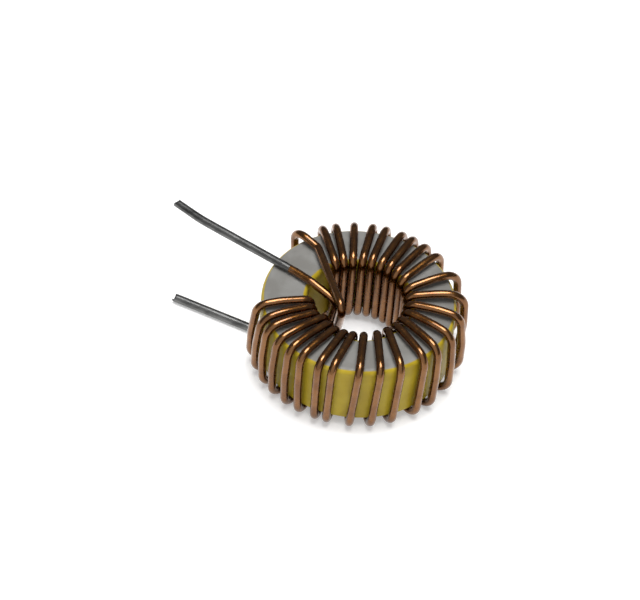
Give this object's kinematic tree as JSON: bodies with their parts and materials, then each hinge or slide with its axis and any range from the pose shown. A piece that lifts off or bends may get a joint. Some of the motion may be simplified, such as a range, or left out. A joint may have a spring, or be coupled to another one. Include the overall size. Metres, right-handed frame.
{
  "type": "toroidal inductor",
  "caption": "Ring-shaped inductor: one enamelled copper wire wound through and round a coated powder ring, with two tinned leads on one side.",
  "frame": {"origin": "on the ring's axis, in the plane that the lowest turns rest on", "axes": "+Z along the ring's axis, up from the resting plane; +X away from the side that the leads leave"},
  "size_m": [0.0274, 0.0196, 0.0086],
  "materials": {
    "core_coat": "satin coat, yellow sides and bore with a white face",
    "copper_enamel": "glossy clear enamel over copper",
    "lead_tin": "dull tinned wire"
  },
  "bodies": {
    "root": {"core": "core_coat", "winding": "copper_enamel", "lower_lead_tin": "lead_tin", "upper_lead_tin": "lead_tin"}
  },
  "joints": []
}
